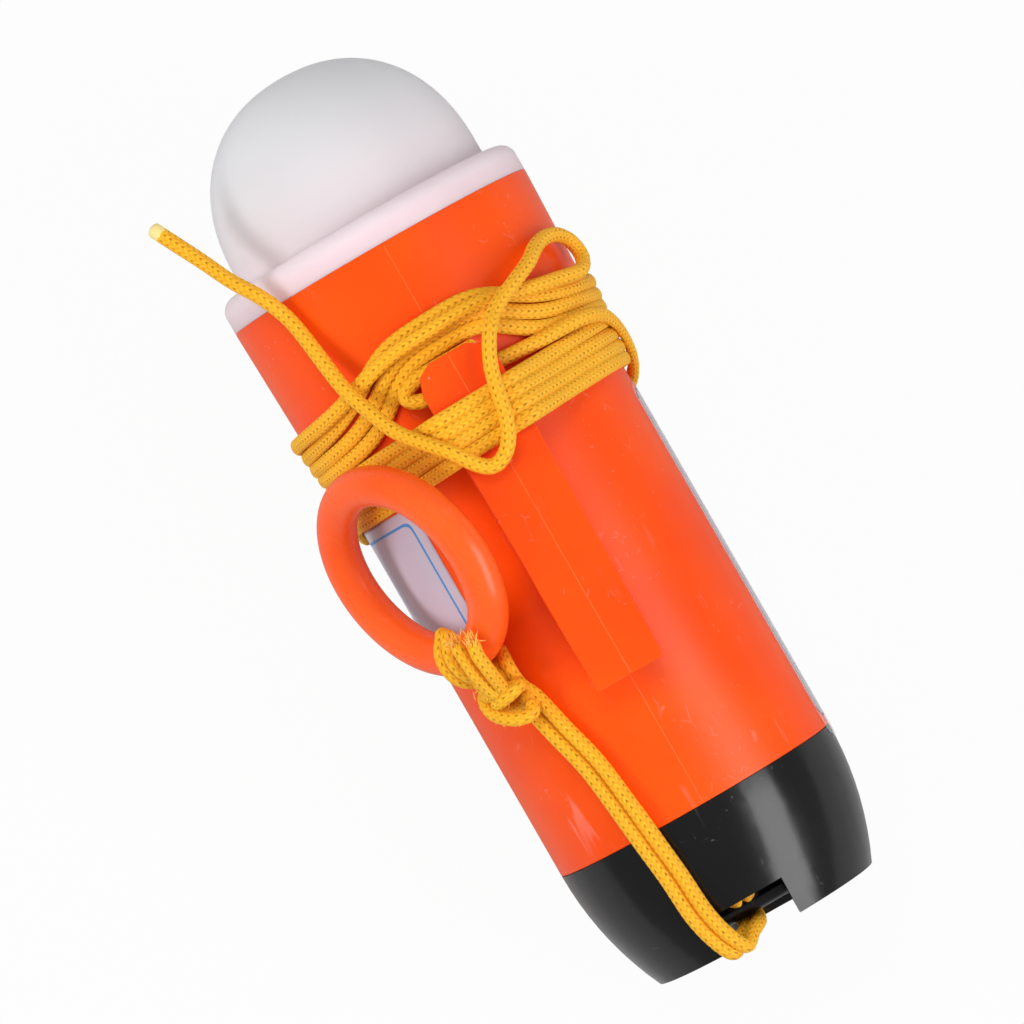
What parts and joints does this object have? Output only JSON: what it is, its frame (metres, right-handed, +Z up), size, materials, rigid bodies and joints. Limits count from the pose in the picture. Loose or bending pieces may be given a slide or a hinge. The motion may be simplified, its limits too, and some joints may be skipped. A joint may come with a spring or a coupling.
{
  "type": "lifebuoy light",
  "caption": "Sealed orange lifebuoy light with frosted dome, black end cap, hanging tongue, pull ring on a doubled cord and a wound knitted lanyard.",
  "frame": {"origin": "bottom centre of the rigid parts' box, on the floor under the light lying on its back", "axes": "+Y along the tube towards the lens dome, +Z up, the tongue on top, +X across"},
  "size_m": [0.0792, 0.1955, 0.0815],
  "materials": {
    "orange_shell": "glossy moulded orange",
    "frosted_lens": "frosted translucent white",
    "seal_rubber": "matt black rubber",
    "black_cap": "glossy black",
    "steel": "plain steel",
    "chassis_plastic": "light grey",
    "black_plastic": "matt black",
    "cell": "sleeved cell",
    "board": "green board",
    "emitter": "yellow emitter",
    "reflector": "bright",
    "brass": "plain",
    "wire_red": "red sleeve",
    "wire_black": "black sleeve",
    "label": "pale bare label",
    "film": "clear film",
    "cord": "knitted yellow cord",
    "orange_ring": "satin orange"
  },
  "bodies": {
    "light": {"body_tube": "orange_shell", "hanging_tongue": "orange_shell", "lens_dome": "frosted_lens", "lens_seal": "seal_rubber", "end_cap": "black_cap", "cap_seal": "seal_rubber", "ballast_disc": "steel", "chassis": "chassis_plastic", "cell_holder": "black_plastic", "cell_1": "cell", "cell_2": "cell", "cell_3": "cell", "cell_4": "cell", "contact_springs": "steel", "contact_plates": "steel", "led_board": "board", "led_emitters": "emitter", "reflector": "reflector", "tilt_switch_tube": "steel", "tilt_contacts": "brass", "wire_red": "wire_red", "wire_black": "wire_black", "board_screws": "steel", "label_side": "label", "label_back": "label", "label_film": "film", "lanyard_coil_lower": "cord", "lanyard_coil_upper": "cord", "lanyard_tail": "cord", "lanyard_start": "cord"},
    "ball": {"tilt_ball": "steel"},
    "tether": {"tether_cord": "cord", "tether_knot": "cord"},
    "ring": {"pull_ring": "orange_ring"}
  },
  "joints": [
    {"name": "tilt_ball_slide", "type": "slide", "parent": "light", "child": "ball", "axis": [0, 0.9992, 0.0407], "range_m": [0, 0.006]},
    {"name": "tether_swing", "type": "hinge", "parent": "light", "child": "tether", "pos_m": [-0.0025, -0.09058, 0.04556], "axis": [1, 0, 0], "range_deg": [0, 110]},
    {"name": "ring_swing", "type": "hinge", "parent": "tether", "child": "ring", "pos_m": [-0.02463, -0.02083, 0.05912], "axis": [0.549, -0.034, 0.8351], "range_deg": [0, 80]}
  ]
}
